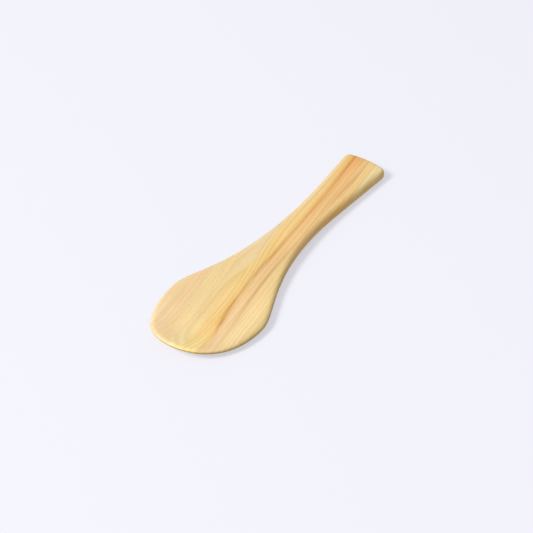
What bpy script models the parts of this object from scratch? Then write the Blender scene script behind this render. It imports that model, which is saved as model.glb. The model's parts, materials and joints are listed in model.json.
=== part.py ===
"""Wooden rice paddle, glued up from eight staves and carved as one.

Eight strips of wood are glued edge to edge into a blank. The blank is sawn to the outline, at a
small angle to the glue lines, and then carved: a shallow dish in the blade, a thin rounded rim, a
thick neck and a handle that flares to a square end. Each stave is an object of its own. All of
them share the carved form, and each is cut out of it between its two glue lines.

Units are metres and +Z is up. +X runs from the tip of the blade to the end of the handle, and the
origin is under the middle of the paddle, on the surface that it rests on.
"""

import math

import bmesh
import bpy
from mathutils import Matrix, Vector

MM = 0.001

# Outline seen from above, measured from the tip
LENGTH = 200 * MM
BLADE_WIDTH = 62.8 * MM
WIDEST_AT = 43 * MM  # from the tip to the blade's widest place
TIP_SQUARENESS = 0.94  # 1 is half an ellipse, and less is squarer
TIP_LEAN = 2.8 * MM  # the hand-carved tip lies this far left of the handle's axis
SHOULDER_FULLNESS = 16 * MM  # how far the width is held past the widest place
NECK_WIDTH = 21.5 * MM
NECK_AT = 134.5 * MM  # from the tip to the narrowest place
NECK_LEAD_IN = 58 * MM  # how gently the shoulder runs into the neck
NECK_LEAD_OUT = 18 * MM  # how gently the flare leaves the neck
END_WIDTH = 29 * MM
END_LEAD_IN = 11 * MM  # how gently the flare reaches the end
END_SPLAY = math.radians(2.5)  # the sides still open by this much at the end
END_CORNER = 3.8 * MM  # radius of the two corners
END_RADIUS = 55 * MM  # radius of the gently bowed end

# Underside along the middle, measured from the tip
TIP_LIFT = 4.4 * MM
BELLY_START = 28 * MM  # the blade rests flat between these two
BELLY_END = 60 * MM
ARCH_RISE = 1.0 * MM  # the neck stands this far clear
HEEL_START = 172 * MM  # the handle rests flat from here to its end

# Thickness
TIP_EDGE = 2.8 * MM
BLADE_EDGE = 4.2 * MM
HANDLE_EDGE = 7.6 * MM
TIP_TAPER = 30 * MM  # the rim thins over this much of the tip
SHOULDER_START = 56 * MM  # the blade thickens into the handle between these two
SHOULDER_END = 118 * MM
BLADE_EDGE_LIFT = 2.0 * MM  # the underside curves up by this much at the blade's edge
HANDLE_EDGE_LIFT = 0.3 * MM
FLAT_SHARE = 0.5  # share of the width that is flat underneath
HANDLE_CROWN = 0.6 * MM  # the handle's top is higher along the middle
DISH_DEPTH = 2.8 * MM
DISH_SHARE = 0.92  # share of the width that is dished
DISH_FADE_START = 46 * MM  # the dish runs out towards the neck between these two
DISH_FADE_END = 98 * MM

# Rounding of the edges, measured inwards from the outline
BLADE_ROUND = 2.6 * MM
HANDLE_ROUND = 3.2 * MM
END_ROUND = 2.2 * MM
END_ROUND_LENGTH = 12 * MM  # the rounding tightens over this much of the handle's end

# Glued blank
SAW_ALLOWANCE = 2.2 * MM  # the blank is wider than the blade by this much each side
BLANK_SLANT = math.radians(6.6)  # glue lines against the paddle's axis
GLUE_LINE = 0.3 * MM

# Fineness of the mesh
TIP_STEPS = 15
SHOULDER_STEPS = 22
FLARE_STEPS = 14
CORNER_STEPS = 4
END_STEPS = 4
ROUND_STEPS = 4
SURFACE_STEPS = 6
TIP_FAN = 26 * MM  # the surface lines of the tip meet this far in
END_FAN = 9 * MM
SHARP_ANGLE = math.radians(40)

# Room that the cutters leave around the paddle
CUTTER_ROOM = 20 * MM

PALE_YELLOW = (0.86, 0.66, 0.34)
YELLOW = (0.84, 0.61, 0.29)
GOLDEN = (0.80, 0.53, 0.21)
PINKISH = (0.82, 0.55, 0.31)
WOOD_ROUGHNESS = 0.55

# Staves from the right edge to the left, each with its tone
STAVES = (
    ("stave_1_blade_edge", PALE_YELLOW),
    ("stave_2_full_length", YELLOW),
    ("stave_3_full_length", PINKISH),
    ("stave_4_full_length", GOLDEN),
    ("stave_5_to_neck", YELLOW),
    ("stave_6_to_shoulder", PALE_YELLOW),
    ("stave_7_blade", PINKISH),
    ("stave_8_blade_edge", PINKISH),
)


def clear_scene():
    """Take every object out of the scene."""
    for thing in list(bpy.data.objects):
        bpy.data.objects.remove(thing, do_unlink=True)


def new_collection(name):
    """Make a collection in the scene."""
    collection = bpy.data.collections.new(name)
    bpy.context.scene.collection.children.link(collection)
    return collection


def ease(place, start, end):
    """Climb smoothly from 0 at start to 1 at end."""
    share = min(max((place - start) / (end - start), 0.0), 1.0)
    return share * share * (3 - 2 * share)


def bezier(points, steps):
    """Points along a cubic curve, without its first one."""
    a, b, c, d = (Vector(point) for point in points)
    curve = []
    for step in range(1, steps + 1):
        t = step / steps
        u = 1 - t
        curve.append(a * u**3 + b * (3 * u * u * t) + c * (3 * u * t * t) + d * t**3)
    return curve


def arc(centre, radius, start, end, steps):
    """Points along an arc, without its first one."""
    points = []
    for step in range(1, steps + 1):
        angle = start + (end - start) * step / steps
        points.append(Vector(centre) + radius * Vector((math.cos(angle), math.sin(angle))))
    return points


def half_outline():
    """The left edge seen from above, from the tip round to the middle of the handle's end."""
    half_blade = BLADE_WIDTH / 2
    half_neck = NECK_WIDTH / 2
    points = [Vector((0, 0))]
    for step in range(1, TIP_STEPS + 1):
        angle = math.pi / 2 * step / TIP_STEPS
        along = WIDEST_AT * (1 - max(math.cos(angle), 0) ** TIP_SQUARENESS)
        points.append(Vector((along, half_blade * math.sin(angle) ** TIP_SQUARENESS)))
    points += bezier(
        (
            (WIDEST_AT, half_blade),
            (WIDEST_AT + SHOULDER_FULLNESS, half_blade),
            (NECK_AT - NECK_LEAD_IN, half_neck),
            (NECK_AT, half_neck),
        ),
        SHOULDER_STEPS,
    )
    end_centre = Vector((LENGTH - END_RADIUS, 0))
    corner_y = END_WIDTH / 2 - END_CORNER
    reach = END_RADIUS - END_CORNER
    corner = Vector((end_centre.x + math.sqrt(reach**2 - corner_y**2), corner_y))
    flare_end = corner + END_CORNER * Vector((-math.sin(END_SPLAY), math.cos(END_SPLAY)))
    splay = Vector((math.cos(END_SPLAY), math.sin(END_SPLAY)))
    points += bezier(
        (
            (NECK_AT, half_neck),
            (NECK_AT + NECK_LEAD_OUT, half_neck),
            flare_end - END_LEAD_IN * splay,
            flare_end,
        ),
        FLARE_STEPS,
    )
    bow = math.atan2(corner_y, corner.x - end_centre.x)
    points += arc(corner, END_CORNER, math.pi / 2 + END_SPLAY, bow, CORNER_STEPS)
    points += arc(end_centre, END_RADIUS, bow, 0, END_STEPS)
    return points


def whole_outline():
    """The closed outline: the left edge out to the end, then the right edge back to the tip."""
    left = half_outline()
    right = [Vector((point.x, -point.y)) for point in reversed(left[1:-1])]
    return left + right


def half_width(place):
    """Half the paddle's width at a distance from the tip."""
    edge = half_outline()
    for before, after in zip(edge, edge[1:]):
        if before.x <= place <= after.x and after.x > before.x:
            share = (place - before.x) / (after.x - before.x)
            return before.y + share * (after.y - before.y)
    return 0.0


def lean(place):
    """How far left the paddle's middle lies at a distance from the tip."""
    return TIP_LEAN * max(1 - place / WIDEST_AT, 0) ** 2


def underside(place):
    """Height of the underside along the middle."""
    if place < BELLY_START:
        return TIP_LIFT * (1 - place / BELLY_START) ** 2
    if BELLY_END < place < HEEL_START:
        along = (place - BELLY_END) / (HEEL_START - BELLY_END)
        return ARCH_RISE * math.sin(math.pi * along) ** 2
    return 0.0


def edge_lift(place):
    """How far the edge's underside stands above the middle's."""
    share = ease(place, SHOULDER_START, SHOULDER_END)
    return BLADE_EDGE_LIFT + share * (HANDLE_EDGE_LIFT - BLADE_EDGE_LIFT)


def edge_thickness(place):
    """Thickness along the edge, before it is rounded."""
    tip = TIP_EDGE + ease(place, 0, TIP_TAPER) * (BLADE_EDGE - TIP_EDGE)
    return tip + ease(place, SHOULDER_START, SHOULDER_END) * (HANDLE_EDGE - BLADE_EDGE)


def edge_round(place):
    """How far in from the outline the edge's rounding reaches."""
    blade = BLADE_ROUND + ease(place, SHOULDER_START, SHOULDER_END) * (HANDLE_ROUND - BLADE_ROUND)
    return blade + ease(place, LENGTH - END_ROUND_LENGTH, LENGTH) * (END_ROUND - HANDLE_ROUND)


def lower_surface(place, out):
    """Height of the underside, where out is 0 along the middle and 1 on the outline."""
    past_flat = max(out - FLAT_SHARE, 0) / (1 - FLAT_SHARE)
    return underside(place) + edge_lift(place) * past_flat**2


def upper_surface(place, out):
    """Height of the top, with the dish in the blade and the crown on the handle."""
    crown = HANDLE_CROWN * ease(place, SHOULDER_START, SHOULDER_END) * (1 - out**2)
    depth = DISH_DEPTH * (1 - ease(place, DISH_FADE_START, DISH_FADE_END))
    dish = depth * max(1 - (out / DISH_SHARE) ** 2, 0) ** 1.5
    return underside(place) + edge_lift(place) + edge_thickness(place) + crown - dish


def surface_line(point, inward):
    """One line of the surface, from the outline in to the middle: place, bottom and top."""
    middle = Vector((min(max(point.x, TIP_FAN), LENGTH - END_FAN), 0))
    reach = (point - middle).length
    line = []
    for step in range(ROUND_STEPS + 1):
        angle = math.pi / 2 * step / ROUND_STEPS
        depth = edge_round(point.x) * (1 - math.cos(angle))
        spot = point + inward * depth
        low = lower_surface(spot.x, 1 - depth / reach)
        high = upper_surface(spot.x, 1 - depth / reach)
        halfway = (low + high) / 2
        rise = (high - low) / 2 * math.sin(angle)
        line.append((spot, halfway - rise, halfway + rise))
    for step in range(1, SURFACE_STEPS + 1):
        share = 1 - step / SURFACE_STEPS
        place = middle.lerp(spot, share)
        out = share * (1 - depth / reach)
        line.append((place, lower_surface(place.x, out), upper_surface(place.x, out)))
    return line


def carved_form():
    """The whole carved paddle as one closed mesh: surface lines all round, joined by faces."""
    outline = whole_outline()
    count = len(outline)
    form = bmesh.new()
    made = {}

    def corner(spot, height):
        """The vertex at a place, shared by the lines that meet there."""
        key = (round(spot.x, 7), round(spot.y, 7), round(height, 7))
        if key not in made:
            across = spot.y + lean(spot.x)
            made[key] = form.verts.new((spot.x - LENGTH / 2, across, height))
        return made[key]

    tops = []
    bottoms = []
    for index, point in enumerate(outline):
        along = outline[(index + 1) % count] - outline[index - 1]
        inward = Vector((along.y, -along.x)).normalized()
        line = surface_line(point, inward)
        tops.append([corner(spot, high) for spot, low, high in line])
        bottoms.append([corner(spot, low) for spot, low, high in line])
    for index in range(count):
        after = (index + 1) % count
        for here, there in ((tops[index], tops[after]), (bottoms[after], bottoms[index])):
            for step in range(ROUND_STEPS + SURFACE_STEPS):
                ring = (here[step], there[step], there[step + 1], here[step + 1])
                face = list(dict.fromkeys(ring))
                if len(face) > 2:
                    form.faces.new(face)
    bmesh.ops.triangulate(form, faces=form.faces)
    bmesh.ops.recalc_face_normals(form, faces=form.faces)
    mesh = bpy.data.meshes.new("carved_form")
    form.to_mesh(mesh)
    form.free()
    mesh.materials.append(None)
    mesh.shade_smooth()
    mesh.set_sharp_from_angle(angle=SHARP_ANGLE)
    return mesh


def stave_width():
    """Width of one stave: the blank is glued up to cover the blade with some to saw off."""
    return (BLADE_WIDTH + 2 * SAW_ALLOWANCE) / len(STAVES)


def glue_line_y(number, place):
    """How far left the glue line lies at a distance from the tip. Line 0 is the right edge."""
    across = (number - len(STAVES) / 2) * stave_width()
    return math.tan(BLANK_SLANT) * (place - WIDEST_AT) + across / math.cos(BLANK_SLANT)


def comes_back(number):
    """Whether the waist cuts a stave right through and the flared end holds more of it."""
    at_end = LENGTH - END_CORNER - END_ROUND
    if number < len(STAVES) / 2:
        neck_line = glue_line_y(number + 1, NECK_AT)
        end_line = glue_line_y(number + 1, at_end)
    else:
        neck_line = -glue_line_y(number, NECK_AT)
        end_line = -glue_line_y(number, at_end)
    return neck_line < -NECK_WIDTH / 2 and end_line - GLUE_LINE > -half_width(at_end)


def slab(name, number, start, end, cutters):
    """The space between two glue lines, from start to end along the paddle."""
    width = stave_width()
    low = (number - len(STAVES) / 2) * width + GLUE_LINE / 2
    high = low + width - GLUE_LINE
    if number == 0:
        low -= CUTTER_ROOM
    if number == len(STAVES) - 1:
        high += CUTTER_ROOM
    size = Vector((end - start, high - low, 2 * CUTTER_ROOM))
    middle = Vector(((start + end) / 2 - WIDEST_AT, (low + high) / 2, 0))
    box = bmesh.new()
    bmesh.ops.create_cube(box, size=1, matrix=Matrix.LocRotScale(middle, None, size))
    mesh = bpy.data.meshes.new(name)
    box.to_mesh(mesh)
    box.free()
    cutter = bpy.data.objects.new(name, mesh)
    cutter.location = (WIDEST_AT - LENGTH / 2, 0, 0)
    cutter.rotation_euler = (0, 0, BLANK_SLANT)
    cutter.hide_render = True
    cutter.display_type = "WIRE"
    cutters.objects.link(cutter)
    return cutter


def wood(name, tone):
    """A dry, oil-free wood finish."""
    material = bpy.data.materials.new(name)
    material.use_nodes = True
    shader = material.node_tree.nodes["Principled BSDF"]
    shader.inputs["Base Color"].default_value = (*tone, 1)
    shader.inputs["Roughness"].default_value = WOOD_ROUGHNESS
    shader.inputs["Metallic"].default_value = 0
    return material


def stave(name, form, space, tone, parts):
    """One stave: the part of the carved form that lies in its space."""
    piece = bpy.data.objects.new(name, form)
    parts.objects.link(piece)
    piece.material_slots[0].link = "OBJECT"
    piece.material_slots[0].material = wood(name + "_wood", tone)
    cut = piece.modifiers.new("between_glue_lines", "BOOLEAN")
    cut.operation = "INTERSECT"
    cut.solver = "EXACT"
    cut.object = space
    return piece


def build():
    """Carve the form and cut it into its staves."""
    clear_scene()
    parts = new_collection("rice_paddle")
    cutters = new_collection("cutters")
    form = carved_form()
    tip = -CUTTER_ROOM
    end = LENGTH + CUTTER_ROOM
    for number, (name, tone) in enumerate(STAVES):
        reach = NECK_AT if comes_back(number) else end
        stave(name, form, slab(name + "_space", number, tip, reach, cutters), tone, parts)
        if comes_back(number):
            name = f"stave_{number + 1}_handle_corner"
            stave(name, form, slab(name + "_space", number, NECK_AT, end, cutters), tone, parts)


build()
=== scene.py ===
"""Looks of the wooden rice paddle: eight glued staves, carved as one, in bare sanded wood.

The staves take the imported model's length and width, and the same rules of form: an outline, a
shallow dish, a thin rounded rim and a thick handle. Here the form is fine and smooth, the glue
lines close to a hairline, and each stave has its own growth rings, fibres and tone.

Units are metres and +Z is up. +X runs from the tip of the blade to the end of the handle.
"""

import json
import logging
import math
from dataclasses import dataclass
from enum import Enum
from typing import Any, Mapping, Sequence, Union

import bpy
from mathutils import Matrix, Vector


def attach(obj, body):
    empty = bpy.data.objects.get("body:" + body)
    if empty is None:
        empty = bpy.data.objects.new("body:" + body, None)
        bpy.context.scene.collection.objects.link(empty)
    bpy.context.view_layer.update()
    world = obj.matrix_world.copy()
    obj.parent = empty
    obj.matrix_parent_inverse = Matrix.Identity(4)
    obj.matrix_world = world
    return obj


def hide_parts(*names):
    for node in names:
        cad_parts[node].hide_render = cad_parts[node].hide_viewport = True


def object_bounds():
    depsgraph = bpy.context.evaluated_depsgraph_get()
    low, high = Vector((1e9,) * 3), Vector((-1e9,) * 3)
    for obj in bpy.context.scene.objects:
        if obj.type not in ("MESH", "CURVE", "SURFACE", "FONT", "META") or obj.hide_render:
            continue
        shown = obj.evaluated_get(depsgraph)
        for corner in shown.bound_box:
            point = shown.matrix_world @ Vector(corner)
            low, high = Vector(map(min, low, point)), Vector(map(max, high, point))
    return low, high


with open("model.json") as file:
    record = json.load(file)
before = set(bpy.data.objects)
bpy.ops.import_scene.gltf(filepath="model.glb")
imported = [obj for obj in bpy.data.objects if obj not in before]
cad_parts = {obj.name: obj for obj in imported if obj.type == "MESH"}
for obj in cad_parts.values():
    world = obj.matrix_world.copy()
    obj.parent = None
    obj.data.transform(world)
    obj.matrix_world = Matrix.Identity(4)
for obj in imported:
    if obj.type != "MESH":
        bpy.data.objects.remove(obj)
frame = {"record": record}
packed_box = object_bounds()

MM = 0.001
UP = (0.0, 0.0, 1.0)
BODY = "root"

logging.basicConfig(level=logging.INFO, format="%(name)s: %(message)s")
log = logging.getLogger("rice_paddle")


class Tone(Enum):
    """The four tones of the wood, by their material slots."""

    PALE_YELLOW = "pale_yellow_wood"
    YELLOW = "yellow_wood"
    PINKISH = "pinkish_wood"
    GOLDEN = "golden_wood"


class Reach(Enum):
    """How much of the paddle's length a stave piece takes."""

    TIP_TO_END = "from tip to end"
    TIP_TO_NECK = "from tip to neck"
    NECK_TO_END = "from neck to end"


Value = Union[float, Sequence[float], "Signal", Any]
Key = Union[str, int]
Inputs = Mapping[Key, Value]
Span = tuple[float, float]
Course = tuple[Span, ...]
Triple = tuple[float, float, float]
Colour = Triple


@dataclass(frozen=True)
class Signal:
    """One output of a node, which takes part in sums the way a number does."""

    sheet: "Sheet"
    socket: bpy.types.NodeSocket

    def _math(self, operation: str, *values: Value) -> "Signal":
        """The result of a Math node with these values in its sockets, from the top."""
        return self.sheet.node("ShaderNodeMath", dict(enumerate(values)), operation=operation)[0]

    def __add__(self, other: Value) -> "Signal":
        """Sum."""
        return self._math("ADD", self, other)

    __radd__ = __add__

    def __sub__(self, other: Value) -> "Signal":
        """Difference."""
        return self._math("SUBTRACT", self, other)

    def __rsub__(self, other: Value) -> "Signal":
        """Difference with a number on the left."""
        return self._math("SUBTRACT", other, self)

    def __mul__(self, other: Value) -> "Signal":
        """Product."""
        return self._math("MULTIPLY", self, other)

    __rmul__ = __mul__

    def __truediv__(self, other: Value) -> "Signal":
        """Quotient."""
        return self._math("DIVIDE", self, other)

    def __rtruediv__(self, other: Value) -> "Signal":
        """Quotient with a number on top."""
        return self._math("DIVIDE", other, self)

    def __pow__(self, other: Value) -> "Signal":
        """Power."""
        return self._math("POWER", self, other)

    def __abs__(self) -> "Signal":
        """Distance from zero."""
        return self._math("ABSOLUTE", self)

    def at_least(self, floor: float) -> "Signal":
        """The larger of this and a number."""
        return self._math("MAXIMUM", self, floor)

    def sine(self) -> "Signal":
        """Sine of an angle in radians."""
        return self._math("SINE", self)

    def root(self) -> "Signal":
        """Square root."""
        return self._math("SQRT", self)

    def fraction(self) -> "Signal":
        """What is left over the whole number."""
        return self._math("FRACT", self)

    def hump(self, half_width: Value) -> "Signal":
        """1 where this is 0, falling off smoothly to both sides."""
        share = self / half_width
        return 1 / (1 + share * share) ** 2.0

    def ease(self, start: Value, end: Value, low: Value = 0.0, high: Value = 1.0) -> "Signal":
        """Climb smoothly from low to high.

        Args:
            start: Where the climb starts.
            end: Where it ends.
            low: The result before the start.
            high: The result after the end.

        Returns:
            The eased result.
        """
        inputs = {"Value": self, "From Min": start, "From Max": end, "To Min": low, "To Max": high}
        smooth = {"interpolation_type": "SMOOTHSTEP"}
        return self.sheet.node("ShaderNodeMapRange", inputs, **smooth)["Result"]


@dataclass(frozen=True)
class Placed:
    """A node on a sheet, whose outputs are picked by name or number."""

    sheet: "Sheet"
    node: bpy.types.Node

    def __getitem__(self, key: Key) -> Signal:
        """The output of that name or number."""
        return Signal(self.sheet, Sheet.pick(self.node.outputs, key))


class Sheet:
    """A node tree under construction, for a material or for geometry."""

    def __init__(self, tree: bpy.types.NodeTree) -> None:
        """Start on an empty tree."""
        self.tree = tree
        tree.nodes.clear()

    @staticmethod
    def pick(sockets: Any, key: Key) -> bpy.types.NodeSocket:
        """Find a socket.

        Args:
            sockets: A node's inputs or outputs.
            key: Its name, or its number where names repeat.

        Returns:
            The socket, and among sockets of one name the one in use.
        """
        if isinstance(key, int):
            return sockets[key]
        return next(socket for socket in sockets if socket.name == key and socket.enabled)

    def node(self, kind: str, inputs: Inputs | None = None, **settings: Any) -> Placed:
        """Add a node.

        Args:
            kind: The node's type.
            inputs: Values or signals for its sockets, by name or number.
            settings: Its properties, set first. "points" are a curve's places and heights.

        Returns:
            The placed node.
        """
        node = self.tree.nodes.new(kind)
        for name, setting in settings.items():
            if name == "points":
                self._set_points(node.mapping, setting)
            else:
                setattr(node, name, setting)
        for key, value in (inputs or {}).items():
            socket = self.pick(node.inputs, key)
            if isinstance(value, Signal):
                self.tree.links.new(value.socket, socket)
            else:
                socket.default_value = value
        return Placed(self, node)

    @staticmethod
    def _set_points(mapping: bpy.types.CurveMapping, points: Sequence[Span]) -> None:
        """Give a curve its points.

        Args:
            mapping: The curve node's mapping.
            points: Pairs of place and height, from 0 to 1.
        """
        curve = mapping.curves[0]
        while len(curve.points) < len(points):
            curve.points.new(1.0, 1.0)
        for point, location in zip(curve.points, points):
            point.location = location
        mapping.update()

    def curve(self, place: Signal, points: Sequence[Span]) -> Signal:
        """The height of a smooth curve at a place from 0 to 1."""
        return self.node("ShaderNodeFloatCurve", {"Value": place}, points=points)["Value"]

    def reshape(self, kind: str, shape: Signal, inputs: Inputs) -> Signal:
        """A geometry, changed by a node of a kind, with what goes into its other sockets."""
        return self.node(kind, {"Geometry": shape, **inputs})["Geometry"]

    def noise(self, vector: Signal, detail: float, seed: Value) -> Signal:
        """Smooth noise between 0 and 1, with features about one unit of the vector across."""
        inputs = {"Vector": vector, "W": seed, "Scale": 1.0, "Detail": detail}
        return self.node("ShaderNodeTexNoise", inputs, noise_dimensions="4D")["Fac"]

    def vector(self, x: Value, y: Value, z: Value) -> Signal:
        """A vector from three signals or numbers."""
        return self.node("ShaderNodeCombineXYZ", {"X": x, "Y": y, "Z": z})["Vector"]

    def shade(self, colour: Signal, shade: Colour, share: Value) -> Signal:
        """Multiply a colour by a shade, in proportion to a share from 0 to 1."""
        return self.blend(colour, opaque(shade), share, "MULTIPLY")

    def blend(self, below: Value, above: Value, share: Value, how: str = "MIX") -> Signal:
        """Mix two colours.

        Args:
            below: The colour that is there already.
            above: The colour laid over it.
            share: How much of it, from 0 to 1.
            how: The Mix node's blend type.

        Returns:
            The mixed colour.
        """
        inputs = {"A": below, "B": above, "Factor": share}
        settings = {"data_type": "RGBA", "blend_type": how, "clamp_factor": True}
        return self.node("ShaderNodeMix", inputs, **settings)["Result"]


def opaque(colour: Colour) -> tuple[float, ...]:
    """A colour with its alpha."""
    return (*colour, 1.0)


def add_object(name: str, data: bpy.types.ID) -> bpy.types.Object:
    """Add an object to the scene.

    Args:
        name: Its name.
        data: Its mesh, lamp or camera data.

    Returns:
        The object.
    """
    thing = bpy.data.objects.new(name, data)
    bpy.context.scene.collection.objects.link(thing)
    return thing


@dataclass(frozen=True)
class Grain:
    """A spot in the wood: how far along the fibres it lies, how far across them and how high."""

    sheet: Sheet
    along: Signal
    across: Signal
    up: Signal

    @classmethod
    def at(cls, sheet: Sheet, place: Signal) -> "Grain":
        """The spot at a place whose X runs along the fibres."""
        parts = sheet.node("ShaderNodeSeparateXYZ", {"Vector": place})
        return cls(sheet, parts["X"], parts["Y"], parts["Z"])

    def noise(self, mark: Span, detail: float, seed: Value) -> Signal:
        """Smooth noise with marks of that length along the fibres and that width across them.

        Args:
            mark: The marks' length and width, in the spot's own unit.
            detail: How many finer layers the noise has.
            seed: What makes the noise its own.

        Returns:
            The noise, between 0 and 1.
        """
        length, width = mark
        spot = self.sheet.vector(self.along / length, self.across / width, self.up / width)
        return self.sheet.noise(spot, detail, seed)


@dataclass
class Outline:
    """The paddle seen from above, measured from the tip."""

    length: float
    blade_width: float
    widest_at: float = 43 * MM
    tip_squareness: float = 0.94
    tip_lean: float = 2.8 * MM
    shoulder_fullness: float = 16 * MM
    neck_width: float = 21.5 * MM
    neck_at: float = 134.5 * MM
    neck_lead_in: float = 58 * MM
    neck_lead_out: float = 18 * MM
    end_width: float = 29 * MM
    end_lead_in: float = 11 * MM
    end_splay: float = math.radians(2.5)
    end_corner: float = 3.8 * MM
    end_radius: float = 55 * MM
    tip_steps: int = 64
    shoulder_steps: int = 96
    flare_steps: int = 60
    corner_steps: int = 10
    end_steps: int = 18

    @staticmethod
    def bezier(corners: Sequence[Vector], steps: int) -> list[Vector]:
        """Points along a cubic curve.

        Args:
            corners: The curve's four points.
            steps: How many points to make.

        Returns:
            The points, without the curve's first.
        """
        a, b, c, d = corners
        curve = []
        for step in range(1, steps + 1):
            t = step / steps
            u = 1 - t
            curve.append(a * u**3 + b * (3 * u * u * t) + c * (3 * u * t * t) + d * t**3)
        return curve

    @staticmethod
    def arc(centre: Vector, radius: float, start: float, end: float, steps: int) -> list[Vector]:
        """Points along an arc from one angle to another, without its first."""
        angles = [start + (end - start) * step / steps for step in range(1, steps + 1)]
        return [centre + radius * Vector((math.cos(angle), math.sin(angle))) for angle in angles]

    def tip(self) -> list[Vector]:
        """The rounded tip.

        Returns:
            Points from the very tip to the widest place.
        """
        points = [Vector((0.0, 0.0))]
        for step in range(1, self.tip_steps + 1):
            angle = math.pi / 2 * step / self.tip_steps
            along = 1 - max(math.cos(angle), 0.0) ** self.tip_squareness
            across = math.sin(angle) ** self.tip_squareness
            points.append(Vector((self.widest_at * along, self.blade_width / 2 * across)))
        return points

    def shoulder(self) -> list[Vector]:
        """The long curve into the neck.

        Returns:
            Points from the widest place, without it, to the neck.
        """
        blade = self.blade_width / 2
        neck = self.neck_width / 2
        corners = (
            Vector((self.widest_at, blade)),
            Vector((self.widest_at + self.shoulder_fullness, blade)),
            Vector((self.neck_at - self.neck_lead_in, neck)),
            Vector((self.neck_at, neck)),
        )
        return self.bezier(corners, self.shoulder_steps)

    def handle(self) -> list[Vector]:
        """The flared side of the handle, its corner and half of the bowed end.

        Returns:
            Points from the neck, without it, to the middle of the end.
        """
        centre = Vector((self.length - self.end_radius, 0.0))
        reach = self.end_radius - self.end_corner
        corner_y = self.end_width / 2 - self.end_corner
        corner = Vector((centre.x + math.sqrt(reach**2 - corner_y**2), corner_y))
        splay = Vector((math.cos(self.end_splay), math.sin(self.end_splay)))
        outward = Vector((-splay.y, splay.x))
        flare_end = corner + self.end_corner * outward
        neck = Vector((self.neck_at, self.neck_width / 2))
        lead_out = neck + Vector((self.neck_lead_out, 0.0))
        corners = (neck, lead_out, flare_end - self.end_lead_in * splay, flare_end)
        bow = math.atan2(corner_y, corner.x - centre.x)
        square = math.pi / 2 + self.end_splay
        points = self.bezier(corners, self.flare_steps)
        points += self.arc(corner, self.end_corner, square, bow, self.corner_steps)
        points += self.arc(centre, self.end_radius, bow, 0.0, self.end_steps)
        return points

    def lean(self, place: float) -> float:
        """How far left the paddle's middle lies at a distance from the tip."""
        return self.tip_lean * max(1 - place / self.widest_at, 0.0) ** 2

    def points(self) -> list[Vector]:
        """The closed outline.

        Returns:
            Points along the left edge out to the end, then along the right edge back.
        """
        left = self.tip() + self.shoulder() + self.handle()
        right = [Vector((point.x, -point.y)) for point in reversed(left[1:-1])]
        return left + right


@dataclass(frozen=True)
class Section:
    """The paddle's heights and thicknesses, measured from the tip and from its rest."""

    tip_lift: float = 4.4 * MM
    belly_start: float = 28 * MM
    belly_end: float = 60 * MM
    arch_rise: float = 1.0 * MM
    heel_start: float = 172 * MM
    tip_edge: float = 2.8 * MM
    blade_edge: float = 4.2 * MM
    handle_edge: float = 7.6 * MM
    tip_taper: float = 30 * MM
    shoulder: Span = (56 * MM, 118 * MM)
    blade_edge_lift: float = 2.0 * MM
    handle_edge_lift: float = 0.3 * MM
    flat_share: float = 0.5
    handle_crown: float = 0.6 * MM
    dish_depth: float = 2.8 * MM
    dish_share: float = 0.92
    dish_power: float = 1.5
    dish_fade: Span = (46 * MM, 98 * MM)

    def heights(self, x: Signal, out: Signal, rise: Signal) -> Signal:
        """The height of a point of the surface.

        Args:
            x: Its distance from the tip.
            out: 0 along the middle and 1 on the outline.
            rise: 1 on the top, -1 on the underside, and between them round the rim.

        Returns:
            The height above the surface that the paddle rests on.
        """
        tip = (1 - x / self.belly_start).at_least(0.0)
        arch_share = (x - self.belly_end) / (self.heel_start - self.belly_end)
        arch = (arch_share.at_least(0.0) * math.pi).sine()
        arch = arch * x.ease(self.heel_start, self.heel_start + MM, 1.0, 0.0)
        middle = tip * tip * self.tip_lift + arch * arch * self.arch_rise
        lift = x.ease(*self.shoulder, self.blade_edge_lift, self.handle_edge_lift)
        thickening = self.handle_edge - self.blade_edge
        edge = x.ease(0.0, self.tip_taper, self.tip_edge, self.blade_edge)
        edge = edge + x.ease(*self.shoulder, 0.0, thickening)
        past_flat = (out - self.flat_share).at_least(0.0) / (1 - self.flat_share)
        low = middle + lift * past_flat * past_flat
        crown = x.ease(*self.shoulder, 0.0, self.handle_crown)
        depth = x.ease(*self.dish_fade, self.dish_depth, 0.0)
        dished = out / self.dish_share
        dish = (1 - dished * dished).at_least(0.0) ** self.dish_power
        high = middle + lift + edge + crown * (1 - out * out) - depth * dish
        return (low + high) / 2 + (high - low) / 2 * rise


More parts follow.
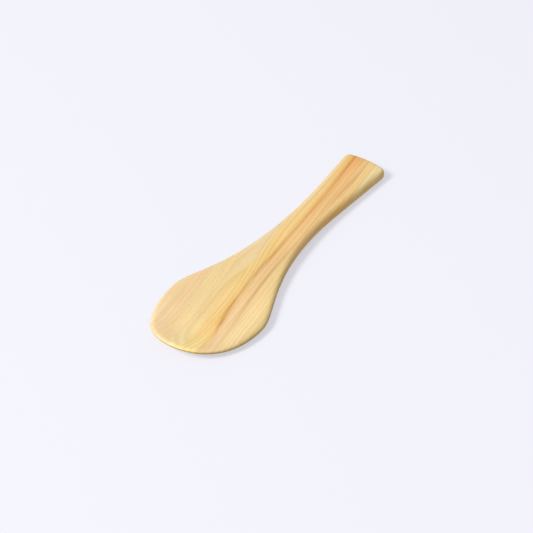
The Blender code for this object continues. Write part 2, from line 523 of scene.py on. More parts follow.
@dataclass
class CarvedForm:
    """The carved outside that all the staves share, as a flat blank and the tree that carves it."""

    outline: Outline
    section: Section = Section()
    blade_round: float = 2.6 * MM
    handle_round: float = 3.2 * MM
    end_round: float = 2.2 * MM
    end_round_length: float = 12 * MM
    tip_fan: float = 26 * MM
    end_fan: float = 9 * MM
    round_steps: int = 10
    surface_steps: int = 52
    relief: float = 0.03 * MM
    relief_mark: Span = (30 * MM, 1.3 * MM)
    tooling: float = 0.10 * MM
    tooling_mark: Span = (26 * MM, 9 * MM)
    weld: float = 0.003 * MM

    @staticmethod
    def ease(place: float, start: float, end: float) -> float:
        """Climb smoothly from 0 at start to 1 at end."""
        share = min(max((place - start) / (end - start), 0.0), 1.0)
        return share * share * (3 - 2 * share)

    def edge_round(self, place: float) -> float:
        """How far in from the outline the rim's rounding reaches.

        Args:
            place: Distance from the tip.

        Returns:
            The reach.
        """
        handle = self.ease(place, *self.section.shoulder)
        end = self.ease(place, self.outline.length - self.end_round_length, self.outline.length)
        blade = self.blade_round + handle * (self.handle_round - self.blade_round)
        return blade + end * (self.end_round - self.handle_round)

    def surface_line(self, point: Vector, inward: Vector) -> list[tuple[Vector, float, float]]:
        """One line of the blank, from the outline in to the middle.

        Args:
            point: The outline's point that it starts from.
            inward: The direction square to the outline.

        Returns:
            For each point its place, its share of the rise and how far out it lies.
        """
        length = self.outline.length
        middle = Vector((min(max(point.x, self.tip_fan), length - self.end_fan), 0.0))
        reach = (point - middle).length
        line = []
        for step in range(self.round_steps + 1):
            angle = math.pi / 2 * step / self.round_steps
            depth = self.edge_round(point.x) * (1 - math.cos(angle))
            line.append((point + inward * depth, math.sin(angle), 1 - depth / reach))
        rim, _, rim_out = line[-1]
        for step in range(1, self.surface_steps + 1):
            share = 1 - step / self.surface_steps
            line.append((middle.lerp(rim, share), 1.0, share * rim_out))
        return line

    def blank(self) -> bpy.types.Mesh:
        """Make the flat blank that the tree carves.

        Returns:
            A thin closed plate whose points know how far out they lie.
        """
        outline = self.outline.points()
        count = len(outline)
        places: dict[Triple, int] = {}
        points: list[Triple] = []
        outs: list[float] = []

        def corner(spot: Vector, rise: float, out: float) -> int:
            """Find or make a point, which all the lines that meet there share.

            Args:
                spot: Its place in the outline.
                rise: 1 on the top, -1 on the underside, and between them round the rim.
                out: How far out it lies.

            Returns:
                Its number.
            """
            key = (round(spot.x, 8), round(spot.y, 8), round(rise, 6))
            if key not in places:
                places[key] = len(points)
                across = spot.y + self.outline.lean(spot.x)
                points.append((spot.x - self.outline.length / 2, across, rise * MM))
                outs.append(out)
            return places[key]

        layers: list[list[list[int]]] = [[], []]
        for index, point in enumerate(outline):
            along = outline[(index + 1) % count] - outline[index - 1]
            inward = Vector((along.y, -along.x)).normalized()
            line = self.surface_line(point, inward)
            for layer, side in zip(layers, (1, -1)):
                layer.append([corner(spot, side * rise, out) for spot, rise, out in line])
        faces = []
        top, bottom = layers
        for index in range(count):
            after = (index + 1) % count
            for here, there in ((top[after], top[index]), (bottom[index], bottom[after])):
                for ring in zip(here, there, there[1:], here[1:]):
                    face = tuple(dict.fromkeys(ring))
                    if len(face) > 2:
                        faces.append(face)
        mesh = bpy.data.meshes.new("flat_blank")
        mesh.from_pydata(points, [], faces)
        mesh.attributes.new("out", "FLOAT", "POINT").data.foreach_set("value", outs)
        return mesh

    def carving(self) -> bpy.types.GeometryNodeTree:
        """The tree that carves the blank, cuts one stave out of it and gives it its wood.

        The cut leaves points almost in one place and many-sided faces, so the stave is welded
        and its faces are made triangles.

        Returns:
            A geometry tree with named inputs for the slab, the relief, the seed and the wood.
        """
        tree = bpy.data.node_groups.new("carve_one_stave", "GeometryNodeTree")
        sheet = Sheet(tree)
        for kind, names in (
            ("NodeSocketGeometry", ("Geometry",)),
            ("NodeSocketVector", ("Slab Middle", "Slab Size", "Slab Pivot")),
            ("NodeSocketFloat", ("Slant", "Relief", "Tooling", "Seed")),
            ("NodeSocketMaterial", ("Wood",)),
        ):
            for name in names:
                tree.interface.new_socket(name, in_out="INPUT", socket_type=kind)
        tree.interface.new_socket("Geometry", in_out="OUTPUT", socket_type="NodeSocketGeometry")
        given = sheet.node("NodeGroupInput")

        place = sheet.node("GeometryNodeInputPosition")["Position"]
        parts = sheet.node("ShaderNodeSeparateXYZ", {"Vector": place})
        out = sheet.node("GeometryNodeInputNamedAttribute", {"Name": "out"}, data_type="FLOAT")
        from_tip = parts["X"] + self.outline.length / 2
        height = self.section.heights(from_tip, out["Attribute"], parts["Z"] / MM)
        raised = {"Position": sheet.vector(parts["X"], parts["Y"], height)}
        carved = sheet.reshape("GeometryNodeSetPosition", given["Geometry"], raised)
        finished = self._finish_surface(sheet, carved, given)

        cube = sheet.node("GeometryNodeMeshCube", {"Size": given["Slab Size"]})["Mesh"]
        aside = {"Translation": given["Slab Middle"]}
        slab = sheet.reshape("GeometryNodeTransform", cube, aside)
        turn = sheet.vector(0.0, 0.0, given["Slant"])
        turned = {"Translation": given["Slab Pivot"], "Rotation": turn}
        slab = sheet.reshape("GeometryNodeTransform", slab, turned)
        cut = sheet.node("GeometryNodeMeshBoolean", operation="INTERSECT", solver="EXACT")
        for part in (slab, finished):
            tree.links.new(part.socket, Sheet.pick(cut.node.inputs, "Mesh"))
        solid = sheet.reshape("GeometryNodeRemoveAttribute", cut["Mesh"], {"Name": "out"})
        solid = sheet.reshape("GeometryNodeMergeByDistance", solid, {"Distance": self.weld})
        even = {"quad_method": "BEAUTY", "ngon_method": "BEAUTY"}
        solid = sheet.node("GeometryNodeTriangulate", {"Mesh": solid}, **even)["Mesh"]
        solid = sheet.reshape("GeometryNodeRealizeInstances", solid, {})
        solid = sheet.reshape("GeometryNodeSetMaterial", solid, {"Material": given["Wood"]})
        sheet.node("NodeGroupOutput", {"Geometry": solid})
        return tree

    def _finish_surface(self, sheet: Sheet, carved: Signal, given: Placed) -> Signal:
        """Raise the grain a little and leave the faint hollows of the spokeshave.

        Args:
            sheet: The sheet to work on.
            carved: The carved form.
            given: The tree's inputs.

        Returns:
            The form with its relief, which only ever goes inwards.
        """
        place = sheet.node("GeometryNodeInputPosition")["Position"]
        back = {"Vector": place, "Angle": 0.0 - given["Slant"]}
        turned = sheet.node("ShaderNodeVectorRotate", back, rotation_type="Z_AXIS")["Vector"]
        grain = Grain.at(sheet, turned)
        fibres = grain.noise(self.relief_mark, 1.0, given["Seed"]) * given["Relief"]
        hollows = grain.noise(self.tooling_mark, 1.0, given["Seed"]) * given["Tooling"]
        normal = sheet.node("GeometryNodeInputNormal")["Normal"]
        depth = {"Vector": normal, "Scale": 0.0 - (fibres + hollows)}
        inward = sheet.node("ShaderNodeVectorMath", depth, operation="SCALE")["Vector"]
        return sheet.reshape("GeometryNodeSetPosition", carved, {"Offset": inward})


@dataclass(frozen=True)
class Timber:
    """One tone of bare sanded wood. Colours are linear, and shades multiply what they lie on.

    The side's painted shade darkens and warms every upright side, and the rim's painted shade
    darkens it further, round the blade only; both stand in for shade, not for the wood's colour.
    """

    early: Colour
    cloud_shade: Colour = (0.97, 0.94, 0.88)
    late_shade: Colour = (0.93, 0.83, 0.66)
    pore_shade: Colour = (0.80, 0.72, 0.62)
    end_shade: Colour = (0.84, 0.74, 0.60)
    # painted shade: upright sides darker and warmer, standing in for the shade they lie in
    side_painted_shade: Colour = (1.0, 0.87, 0.58)
    # painted shade: the blade's upright rim darker and duller, standing in for shadow along its side
    rim_painted_shade: Colour = (0.75, 0.87, 0.91)
    roughness: float = 0.56


TIMBERS: dict[Tone, Timber] = {
    Tone.PALE_YELLOW: Timber((0.865, 0.678, 0.356)),
    Tone.YELLOW: Timber((0.865, 0.66, 0.337)),
    Tone.PINKISH: Timber((0.865, 0.62, 0.337), late_shade=(0.90, 0.80, 0.66)),
    Tone.GOLDEN: Timber((0.875, 0.62, 0.254), late_shade=(0.90, 0.78, 0.56)),
}


@dataclass(frozen=True)
class Marks:
    """The fine marks in the wood, which all the staves share.

    A mark has its length and its width in millimetres. Levels are the two values of a noise, of a
    year or of a slope between which it sets in. Late wood and the overall grey have a least
    amount, and what the strands and the fibres add. Heights are shares of the relief.
    """

    fibre: Span = (9.0, 0.22)
    strand: Span = (42.0, 1.1)
    cloud: Span = (48.0, 5.0)
    pore: Span = (1.7, 0.13)
    cloud_levels: Span = (0.38, 0.66)
    pore_levels: Span = (0.66, 0.78)
    sway: Span = (60.0, 14.0)
    sway_depth: float = 3.2
    ripple: Span = (16.0, 4.0)
    ripple_depth: float = 0.5
    uneven_years: float = 2.3
    uneven_depth: float = 1.2
    late_levels: Span = (0.35, 0.93)
    winter_levels: Span = (0.94, 1.0)
    late_least: float = 0.35
    late_by_strand: float = 0.6
    grey_least: float = 0.91
    grey_by_strand: float = 0.12
    grey_by_fibre: float = 0.06
    # where the upright sides' painted shade sets in, by how far the surface leans from flat
    side_levels: Span = (0.2, 0.97)
    end_levels: Span = (0.35, 0.95)
    relief: float = 0.03 * MM
    bump: float = 0.5
    ring_height: float = 0.5
    fibre_height: float = 0.35
    pore_depth: float = 0.5
    rough_by_fibre: float = 0.12
    rough_by_ring: float = 0.05
    rough_by_end: float = 0.1
    seed_step: float = 7.3


@dataclass(frozen=True)
class Zones:
    """Where the tone of the staves, their painted light and their painted shade change, in
    millimetres from the tip.

    The slope is the stretch where the blade climbs to the neck, and holds painted shade. The
    worn end is measured back from the end of the handle, and its border wanders.
    """

    slope_climb: Span = (45.0, 78.0)
    slope_fall: Span = (78.0, 114.0)
    handle: Span = (55.0, 140.0)
    worn_end: float = 44.0
    worn_wander: float = 6.0


@dataclass(frozen=True)
class Figure:
    """How a stave was sawn from the log, and how its tone changes along it.

    The pith lies at an angle in degrees and a distance, and lengths are in millimetres. The tint
    and the shades multiply the wood's colour: the tint all along, each shade in its own zone.
    At the tip it is painted light, and on the slope painted shade.
    """

    pith_angle: float
    pith_distance: float
    ring_spacing: float
    slope: float
    ring_depth: float = 1.0
    tint: Colour = (1.0, 1.0, 1.0)
    tip_reach: float = 46.0
    # painted light: a paler, brighter tip, standing in for light and sheen on the raised tip; partly
    # the tip's paler wood
    tip_painted_light: Colour = (1.0, 1.0, 1.0)
    # painted shade: the climb from the blade to the neck darker, standing in for shade there
    slope_painted_shade: Colour = (0.95, 0.95, 0.96)
    at_handle: Colour = (1.0, 1.0, 1.0)
    at_end: Colour = (1.0, 1.0, 1.0)


@dataclass(frozen=True)
class Streak:
    """A line that keeps near a glue line, where one tone of the wood meets another.

    A course is a list of pairs: the share of the paddle's length, and what the course has there.
    The wander, the widths and the waver are in millimetres across the grain. A streak without a
    strength has no line, only its two tones.
    """

    line: int
    below: Tone
    above: Tone
    wander: Course
    strength: Course = ()
    half_width: float = 1.5
    colour: Colour = (0.66, 0.41, 0.175)
    tone_reach: float = 5.0
    tone_edge: float = 0.4
    sway: float = 12.0
    waver: float = 0.8
    faint_width: float = 0.6
    strong_width: float = 0.6
    strand_levels: Span = (0.2, 0.6)
    strand_least: float = 0.6


SOFT_LINE = Streak(
    line=2, below=Tone.YELLOW, above=Tone.PINKISH,
    wander=(
        (0.0, 0.6), (0.09, 1.4), (0.21, 2.3), (0.32, 3.2), (0.42, 2.5), (0.50, 1.2),
        (0.62, 0.2), (0.74, -1.0), (0.82, -1.9), (0.91, -3.0), (1.0, -3.0),
    ),
    strength=(
        (0.0, 0.15), (0.10, 0.6), (0.22, 0.85), (0.30, 0.95), (0.45, 0.8), (0.56, 0.25),
        (0.68, 0.2), (0.77, 0.6), (0.84, 0.9), (0.92, 0.8), (1.0, 0.5),
    ),
    half_width=1.3,
)
GOLDEN_EDGE = Streak(
    line=4, below=Tone.GOLDEN, above=Tone.YELLOW,
    wander=(
        (0.0, 0.5), (0.12, 1.5), (0.22, 2.8), (0.32, 3.2), (0.40, 1.0), (0.47, -2.5),
        (0.57, -3.0), (0.66, -3.5), (0.77, -5.0), (1.0, -5.8),
    ),
    tone_reach=3.5,
)
GLOW_LINE = Streak(
    line=3, below=Tone.GOLDEN, above=Tone.GOLDEN,
    wander=(
        (0.0, -1.4), (0.09, -0.2), (0.17, 3.2), (0.28, 5.0), (0.50, 2.2), (0.62, 2.2),
        (0.71, 1.6), (1.0, 1.2),
    ),
    strength=(
        (0.0, 0.0), (0.045, 0.1), (0.085, 0.35), (0.18, 0.3), (0.28, 0.25), (0.40, 0.35),
        (0.46, 0.6), (0.53, 0.9), (0.60, 0.8), (0.68, 0.45), (0.80, 0.15), (1.0, 0.1),
    ),
    half_width=2.2,
    colour=(0.94, 0.55, 0.145),
    tone_reach=1.5,
)
HEART_LINE = Streak(
    line=3, below=Tone.PINKISH, above=Tone.GOLDEN,
    wander=(
        (0.0, -3.6), (0.09, -2.3), (0.17, 0.9), (0.28, 2.5), (0.50, -0.6), (0.71, -2.6),
        (1.0, -1.8),
    ),
    strength=(
        (0.0, 0.05), (0.09, 0.3), (0.15, 0.7), (0.18, 1.0), (0.24, 1.0), (0.30, 0.8),
        (0.42, 0.85), (0.58, 0.5), (0.70, 0.65), (1.0, 0.8),
    ),
    colour=(0.615, 0.31, 0.068),
)


@dataclass(frozen=True)
class Stave:
    """One piece of a stave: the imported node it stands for, its place from the right, its wood."""

    node: str
    number: int
    figure: Figure
    reach: Reach = Reach.TIP_TO_END


@dataclass
class GluedBlank:
    """Eight staves glued edge to edge, at a small angle to the paddle's axis."""

    form: CarvedForm
    staves: tuple[Stave, ...]
    stave_count: int = 8
    saw_allowance: float = 2.2 * MM
    slant: float = math.radians(6.6)
    hairline: float = 0.04 * MM
    room: float = 20 * MM
    sharp_angle: float = math.radians(35)
    marks: Marks = Marks()
    zones: Zones = Zones()
    streaks: tuple[Streak, ...] = (SOFT_LINE, GOLDEN_EDGE, GLOW_LINE, HEART_LINE)

    def stave_width(self) -> float:
        """Width of one stave, square to the glue lines."""
        return (self.form.outline.blade_width + 2 * self.saw_allowance) / self.stave_count

    def pivot(self) -> Vector:
        """Where the blank is turned about: under the blade's widest place."""
        outline = self.form.outline
        return Vector((outline.widest_at - outline.length / 2, 0.0, 0.0))

    def slab(self, stave: Stave) -> tuple[Vector, Vector]:
        """The space between two glue lines, in the blank's own directions.

        Args:
            stave: The stave piece to make room for.

        Returns:
            The slab's middle and its size.
        """
        outline = self.form.outline
        low = (stave.number - self.stave_count / 2) * self.stave_width() + self.hairline / 2
        high = low + self.stave_width() - self.hairline
        if stave.number == 0:
            low -= self.room
        if stave.number == self.stave_count - 1:
            high += self.room
        start = outline.neck_at if stave.reach is Reach.NECK_TO_END else -self.room
        end = outline.neck_at if stave.reach is Reach.TIP_TO_NECK else outline.length + self.room
        middle = Vector(((start + end) / 2 - outline.widest_at, (low + high) / 2, 0.0))
        return middle, Vector((end - start, high - low, 2 * self.room))

    def build(self) -> list[bpy.types.Object]:
        """Carve, cut and dress every stave.

        Returns:
            The finished pieces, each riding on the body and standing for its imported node.
        """
        blank = self.form.blank()
        carving = self.form.carving()
        slots = {part["node"]: part["material_slot"] for part in frame["record"]["subparts"]}
        woods: dict[int, bpy.types.Material] = {}
        pieces = []
        for stave in self.staves:
            slot = slots[stave.node]
            if stave.number not in woods:
                woods[stave.number] = self.wood(stave, Tone(slot))
            piece = self.carve(stave, blank, carving, woods[stave.number])
            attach(piece, BODY)
            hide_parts(stave.node)
            pieces.append(piece)
        return pieces

    def carve(
        self,
        stave: Stave,
        blank: bpy.types.Mesh,
        carving: bpy.types.GeometryNodeTree,
        wood: bpy.types.Material,
    ) -> bpy.types.Object:
        """Make one stave piece.

        Args:
            stave: The stave piece.
            blank: The flat blank.
            carving: The tree that carves it and cuts the stave out.
            wood: Its material.

        Returns:
            The piece as a plain mesh object at the origin.
        """
        piece = add_object("carved_" + stave.node, blank)
        middle, size = self.slab(stave)
        modifier = piece.modifiers.new("carving", "NODES")
        modifier.node_group = carving
        values = {
            "Slab Middle": middle,
            "Slab Size": size,
            "Slab Pivot": self.pivot(),
            "Slant": self.slant,
            "Relief": self.form.relief,
            "Tooling": self.form.tooling,
            "Seed": float(stave.number),
            "Wood": wood,
        }
        for item in carving.interface.items_tree:
            if item.item_type == "SOCKET" and item.in_out == "INPUT" and item.name in values:
                modifier[item.identifier] = values[item.name]
        evaluated = piece.evaluated_get(bpy.context.evaluated_depsgraph_get())
        mesh = bpy.data.meshes.new_from_object(evaluated)
        piece.modifiers.remove(modifier)
        piece.data = mesh
        mesh.name = piece.name
        mesh.shade_smooth()
        mesh.set_sharp_from_angle(angle=self.sharp_angle)
        return piece

    def wood(self, stave: Stave, tone: Tone) -> bpy.types.Material:
        """The wood of one stave, with its rings, fibres and tone, and painted light and shade.

        Args:
            stave: The stave, for the way it was sawn.
            tone: Its tone.

        Returns:
            The material.
        """
        timber = TIMBERS[tone]
        marks = self.marks
        seed = marks.seed_step * stave.number
        material = bpy.data.materials.new(f"{tone.value}_of_stave_{stave.number + 1}")
        material.use_nodes = True
        sheet = Sheet(material.node_tree)
        grain = self._grain(sheet)
        rings = self._rings(grain, stave, seed)
        fibre = grain.noise(marks.fibre, 2.0, seed)
        strand = grain.noise(marks.strand, 2.0, seed + 1)
        cloud = grain.noise(marks.cloud, 2.0, seed + 2).ease(*marks.cloud_levels)
        pores = grain.noise(marks.pore, 0.0, seed + 3).ease(*marks.pore_levels)
        fibres = (math.cos(self.slant), math.sin(self.slant), 0.0)
        # mask of the painted shade: 1 on upright sides, 0 on flat faces
        upright_sides = self._facing(sheet, UP).ease(*marks.side_levels, 1.0, 0.0)
        end_grain = self._facing(sheet, fibres).ease(*marks.end_levels)
        # the blade's share, which the rim's painted shade covers
        blade = self._from_tip(grain).ease(*self.zones.slope_climb, 1.0, 0.0)

        tint = opaque(stave.figure.tint)
        colour = sheet.blend(opaque(timber.early), tint, 1.0, "MULTIPLY")
        for streak in self.streaks:
            if stave.number in (streak.line - 1, streak.line):
                colour = self._streak(grain, colour, streak, strand)
        colour = self._zone_tones_and_painted_light(grain, colour, stave.figure, strand)
        colour = sheet.shade(colour, timber.cloud_shade, cloud)
        late = rings * (marks.late_least + strand * marks.late_by_strand)
        colour = sheet.shade(colour, timber.late_shade, late * stave.figure.ring_depth)
        grey = marks.grey_least + strand * marks.grey_by_strand + fibre * marks.grey_by_fibre
        grey = sheet.node("ShaderNodeCombineColor", {0: grey, 1: grey, 2: grey})["Color"]
        colour = sheet.blend(colour, grey, 1.0, "MULTIPLY")
        colour = sheet.shade(colour, timber.pore_shade, pores)
        # painted shade: upright sides darker and warmer, standing in for the shade they lie in
        colour = sheet.shade(colour, timber.side_painted_shade, upright_sides)
        # painted shade: the blade's upright rim darker and duller, standing in for shadow along its
        # side
        colour = sheet.shade(colour, timber.rim_painted_shade, upright_sides * blade)
        colour = sheet.shade(colour, timber.end_shade, end_grain)

        height = rings * marks.ring_height + fibre * marks.fibre_height
        height = height - pores * marks.pore_depth
        bumps = {"Strength": marks.bump, "Distance": marks.relief, "Height": height}
        normal = sheet.node("ShaderNodeBump", bumps)["Normal"]
        roughness = timber.roughness + (fibre - 0.5) * marks.rough_by_fibre
        roughness = roughness - rings * marks.rough_by_ring + end_grain * marks.rough_by_end
        looks = {"Base Color": colour, "Roughness": roughness, "Normal": normal}
        shader = sheet.node("ShaderNodeBsdfPrincipled", looks)["BSDF"]
        sheet.node("ShaderNodeOutputMaterial", {"Surface": shader})
        return material

    def _grain(self, sheet: Sheet) -> Grain:
        """The spot in the blank.

        Args:
            sheet: The sheet to work on.

        Returns:
            The spot, in millimetres, from under the blade's widest place.
        """
        pivot = self.pivot() / MM
        turned = (-pivot.x * math.cos(self.slant), pivot.x * math.sin(self.slant), 0.0)
        inputs = {
            "Vector": sheet.node("ShaderNodeTexCoord")["Object"],
            "Location": turned,
            "Rotation": (0.0, 0.0, -self.slant),
            "Scale": (1 / MM, 1 / MM, 1 / MM),
        }
        return Grain.at(sheet, sheet.node("ShaderNodeMapping", inputs, vector_type="POINT")["Vector"])

    def _from_tip(self, grain: Grain) -> Signal:
        """Millimetres from the tip."""
        return grain.along + self.form.outline.widest_at / MM

    def _rings(self, grain: Grain, stave: Stave, seed: float) -> Signal:
        """Growth rings round the log's pith, 1 in the dark late wood and 0 in the early wood.

        Args:
            grain: The spot in the blank.
            stave: The stave, for the way it was sawn.
            seed: What makes its noise its own.

        Returns:
            The late wood's share.
        """
        figure = stave.figure
        marks = self.marks
        middle = (stave.number + 0.5 - self.stave_count / 2) * self.stave_width() / MM
        angle = math.radians(figure.pith_angle)
        pith_across = middle + figure.pith_distance * math.cos(angle)
        pith_up = figure.pith_distance * math.sin(angle)
        sway = grain.noise(marks.sway, 1.0, seed + 4) - 0.5
        ripple = grain.noise(marks.ripple, 1.0, seed + 5) - 0.5
        aside = grain.across - pith_across + grain.along * figure.slope
        above = grain.up - pith_up
        radius = (aside * aside + above * above).root()
        radius = radius + sway * marks.sway_depth + ripple * marks.ripple_depth
        years = radius / figure.ring_spacing
        spot = grain.sheet.vector(years / marks.uneven_years, 0.0, 0.0)
        uneven = grain.sheet.noise(spot, 1.0, seed + 6)
        year = (years + uneven * marks.uneven_depth).fraction()
        return year.ease(*marks.late_levels) * year.ease(*marks.winter_levels, 1.0, 0.0)

    def _streak(self, grain: Grain, colour: Signal, streak: Streak, strand: Signal) -> Signal:
        """Lay a streak over a stave's colour: the tones on its two sides, and its line.

        Args:
            grain: The spot in the blank.
            colour: The stave's colour so far.
            streak: The streak.
            strand: Streaky noise along the grain.

        Returns:
            The colour with the streak in it.
        """
        sheet = grain.sheet
        place = self._from_tip(grain) / (self.form.outline.length / MM)
        wander = [(share, 0.5 + aside / streak.sway) for share, aside in streak.wander]
        path = sheet.curve(place, wander)
        line = (streak.line - self.stave_count / 2) * self.stave_width() / MM
        off = grain.across - line - (path - 0.5) * streak.sway + (strand - 0.5) * streak.waver
        below = opaque(TIMBERS[streak.below].early)
        above = opaque(TIMBERS[streak.above].early)
        sides = sheet.blend(below, above, off.ease(-streak.tone_edge, streak.tone_edge))
        colour = sheet.blend(colour, sides, off.hump(streak.tone_reach))
        if not streak.strength:
            return colour
        strength = sheet.curve(place, streak.strength)
        width = streak.half_width * (streak.faint_width + strength * streak.strong_width)
        share = off.hump(width) * strength
        share = share * strand.ease(*streak.strand_levels, streak.strand_least, 1.0)
        return sheet.blend(colour, opaque(streak.colour), share)

    def _zone_tones_and_painted_light(self, grain: Grain, colour: Signal, figure: Figure, strand: Signal) -> Signal:
        """Shade a stave's colour zone by zone, from the tip to the worn end of the handle, with
        painted light at the tip and painted shade on the slope.

        Args:
            grain: The spot in the blank.
            colour: The stave's colour so far.
            figure: The stave's tones, its painted light and its painted shade.
            strand: Streaky noise along the grain.

        Returns:
            The shaded colour.
        """
        zones = self.zones
        from_tip = self._from_tip(grain)
        length = self.form.outline.length / MM
        worn = from_tip + strand * zones.worn_wander - zones.worn_wander / 2
        slope = from_tip.ease(*zones.slope_climb) * from_tip.ease(*zones.slope_fall, 1.0, 0.0)
        for shade, share in (
            (figure.at_handle, from_tip.ease(*zones.handle)),
            # painted light: a paler, brighter tip, standing in for light and sheen on the raised tip
            (figure.tip_painted_light, from_tip.ease(0.0, figure.tip_reach, 1.0, 0.0)),
            # painted shade: the climb from the blade to the neck darker, standing in for shade there
            (figure.slope_painted_shade, slope),
            (figure.at_end, worn.ease(length - zones.worn_end, length)),
        ):
            colour = grain.sheet.shade(colour, shade, share)
        return colour

    @staticmethod
    def _facing(sheet: Sheet, direction: Triple) -> Signal:
        """How squarely the surface faces a direction or its opposite, from 0 to 1."""
        inputs = {0: sheet.node("ShaderNodeNewGeometry")["Normal"], 1: direction}
        return abs(sheet.node("ShaderNodeVectorMath", inputs, operation="DOT_PRODUCT")["Value"])


@dataclass
class Studio:
    """A pale floor, one large soft light, an even fill and the camera."""

    floor_size: float = 6.0
    floor_colour: Colour = (0.88, 0.88, 0.953)
    floor_bounce: Colour = (0.50, 0.50, 0.53)
    floor_glow: float = 0.6
    floor_drop: float = 0.02 * MM
    sky_level: float = 0.415
    key_direction: Triple = (-0.72, 0.38, 0.82)
    key_distance: float = 4.0
    key_size: float = 1.4
    key_power: float = 145.5
    azimuth: float = math.radians(-54.7)
    elevation: float = math.radians(42.8)
    distance: float = 1.1
    lens: float = 126.2
    aim_right: float = -5.0 * MM
    aim_up: float = -5.4 * MM

    def build(self) -> None:
        """Set up the floor, the lights and the camera."""
        self.floor()
        self.lights()
        self.camera()
        bpy.context.scene.view_settings.view_transform = "Standard"

    @staticmethod
    def _seen(sheet: Sheet) -> Signal:
        """Above 0 where a camera ray, a reflection or a view through glass meets a surface."""
        path = sheet.node("ShaderNodeLightPath")
        return path["Is Camera Ray"] + path["Is Glossy Ray"] + path["Is Transmission Ray"]

    def floor(self) -> None:
        """Lay the floor just under the paddle."""
        half = self.floor_size / 2
        mesh = bpy.data.meshes.new("floor")
        corners = [(-half, -half, 0.0), (half, -half, 0.0), (half, half, 0.0), (-half, half, 0.0)]
        mesh.from_pydata(corners, [], [(0, 1, 2, 3)])
        floor = add_object("floor", mesh)
        floor.location.z = -self.floor_drop
        material = bpy.data.materials.new("pale_floor")
        material.use_nodes = True
        sheet = Sheet(material.node_tree)
        seen = self._seen(sheet).ease(0.0, 1.0)
        colour = sheet.blend(opaque(self.floor_bounce), opaque(self.floor_colour), seen)
        paper = sheet.node("ShaderNodeBsdfDiffuse", {"Color": colour})["BSDF"]
        glow = sheet.node("ShaderNodeEmission", {"Color": opaque(self.floor_colour)})["Emission"]
        mixed = {0: seen * self.floor_glow, 1: paper, 2: glow}
        shader = sheet.node("ShaderNodeMixShader", mixed)["Shader"]
        sheet.node("ShaderNodeOutputMaterial", {"Surface": shader})
        mesh.materials.append(material)

    def lights(self) -> None:
        """Hang the soft light and set the even fill."""
        towards = Vector(self.key_direction).normalized()
        light = bpy.data.lights.new("soft_light", "AREA")
        light.shape = "DISK"
        light.size = self.key_size
        light.energy = self.key_power
        lamp = add_object("soft_light", light)
        lamp.location = towards * self.key_distance
        lamp.rotation_mode = "QUATERNION"
        lamp.rotation_quaternion = towards.to_track_quat("Z", "Y")
        world = bpy.data.worlds.new("even_fill")
        world.use_nodes = True
        sheet = Sheet(world.node_tree)
        level = self._seen(sheet).ease(0.0, 1.0, self.sky_level, 1.0)
        white = {"Color": opaque((1.0, 1.0, 1.0)), "Strength": level}
        sky = sheet.node("ShaderNodeBackground", white)["Background"]
        sheet.node("ShaderNodeOutputWorld", {"Surface": sky})
        bpy.context.scene.world = world

    def camera(self) -> None:
        """Stand the camera where the photograph was taken from."""
        flat = math.cos(self.elevation)
        x = math.sin(self.azimuth) * flat
        y = -math.cos(self.azimuth) * flat
        back = Vector((x, y, math.sin(self.elevation)))
        turn = back.to_track_quat("Z", "Y")
        aim = turn @ Vector((self.aim_right, self.aim_up, 0.0))
        data = bpy.data.cameras.new("camera")
        data.lens = self.lens
        camera = add_object("camera", data)
        camera.rotation_mode = "QUATERNION"
        camera.rotation_quaternion = turn
        camera.location = aim + back * self.distance
        bpy.context.scene.camera = camera


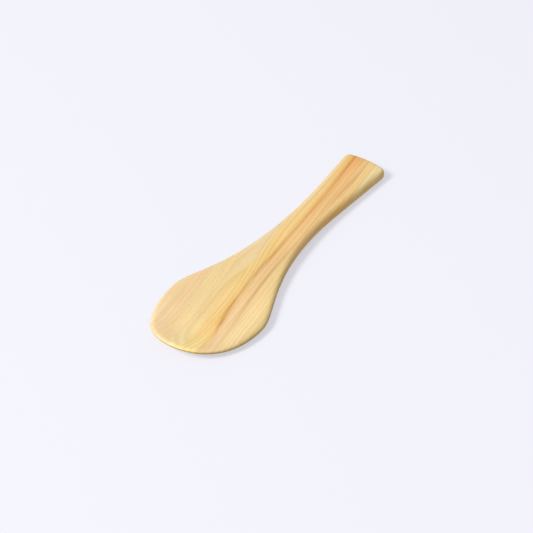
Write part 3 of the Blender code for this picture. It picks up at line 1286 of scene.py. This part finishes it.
def paddle_staves() -> tuple[Stave, ...]:
    """The way each stave was sawn, and its tones.

    Returns:
        The nine stave pieces, from the right edge to the left.
    """
    edge = Figure(
        pith_angle=150, pith_distance=42.0, ring_spacing=2.6, slope=0.010,
        tint=(0.95, 0.92, 0.85),
        at_handle=(1.02, 1.07, 1.18),
        at_end=(0.98, 1.02, 0.98),
    )
    second = Figure(
        pith_angle=20, pith_distance=55.0, ring_spacing=2.2, slope=-0.012,
        slope_painted_shade=(0.91, 0.92, 0.87),
        at_handle=(0.99, 0.88, 0.76),
        at_end=(1.02, 1.11, 1.12),
    )
    third = Figure(
        pith_angle=205, pith_distance=38.0, ring_spacing=3.0, slope=0.015,
        tint=(1.04, 1.02, 1.01),
        tip_painted_light=(1.02, 1.05, 1.10),
        slope_painted_shade=(0.90, 0.90, 0.86),
        at_handle=(1.0, 0.90, 0.72),
        at_end=(0.96, 0.84, 0.70),
    )
    fourth = Figure(
        pith_angle=-25, pith_distance=60.0, ring_spacing=2.4, slope=0.008,
        tip_reach=30.0,
        tip_painted_light=(1.14, 1.28, 1.40),
        slope_painted_shade=(0.90, 0.91, 0.86),
        at_handle=(0.975, 1.03, 1.20),
        at_end=(0.95, 0.90, 0.74),
    )
    fifth = Figure(
        pith_angle=245, pith_distance=30.0, ring_spacing=2.8, slope=-0.010,
        tip_reach=36.0,
        tip_painted_light=(1.155, 1.27, 1.32),
        slope_painted_shade=(0.93, 0.93, 0.92),
        at_handle=(0.94, 1.04, 1.44),
    )
    sixth = Figure(
        pith_angle=-10, pith_distance=70.0, ring_spacing=2.0, slope=0.014,
        ring_depth=0.6,
        tint=(1.0, 0.985, 0.94),
        tip_painted_light=(1.15, 1.11, 1.16),
    )
    seventh = Figure(
        pith_angle=160, pith_distance=48.0, ring_spacing=2.7, slope=0.010,
        ring_depth=0.55,
        tint=(1.01, 1.01, 1.0),
        tip_painted_light=(1.14, 1.18, 1.33),
    )
    eighth = Figure(
        pith_angle=-60, pith_distance=36.0, ring_spacing=2.3, slope=-0.016,
        ring_depth=0.6,
        tint=(1.0, 1.06, 1.09),
        tip_painted_light=(1.15, 1.17, 1.38),
    )
    return (
        Stave("stave_1_blade_edge", 0, edge, Reach.TIP_TO_NECK),
        Stave("stave_1_handle_corner", 0, edge, Reach.NECK_TO_END),
        Stave("stave_2_full_length", 1, second),
        Stave("stave_3_full_length", 2, third),
        Stave("stave_4_full_length", 3, fourth),
        Stave("stave_5_to_neck", 4, fifth),
        Stave("stave_6_to_shoulder", 5, sixth),
        Stave("stave_7_blade", 6, seventh),
        Stave("stave_8_blade_edge", 7, eighth),
    )


def main() -> None:
    """Build the paddle and the studio round it."""
    low, high = packed_box
    outline = Outline(length=high.x - low.x, blade_width=high.y - low.y)
    pieces = GluedBlank(CarvedForm(outline), paddle_staves()).build()
    for piece in pieces:
        log.info("%s: %d faces", piece.name, len(piece.data.polygons))
    Studio().build()


if __name__ == "__main__":
    main()
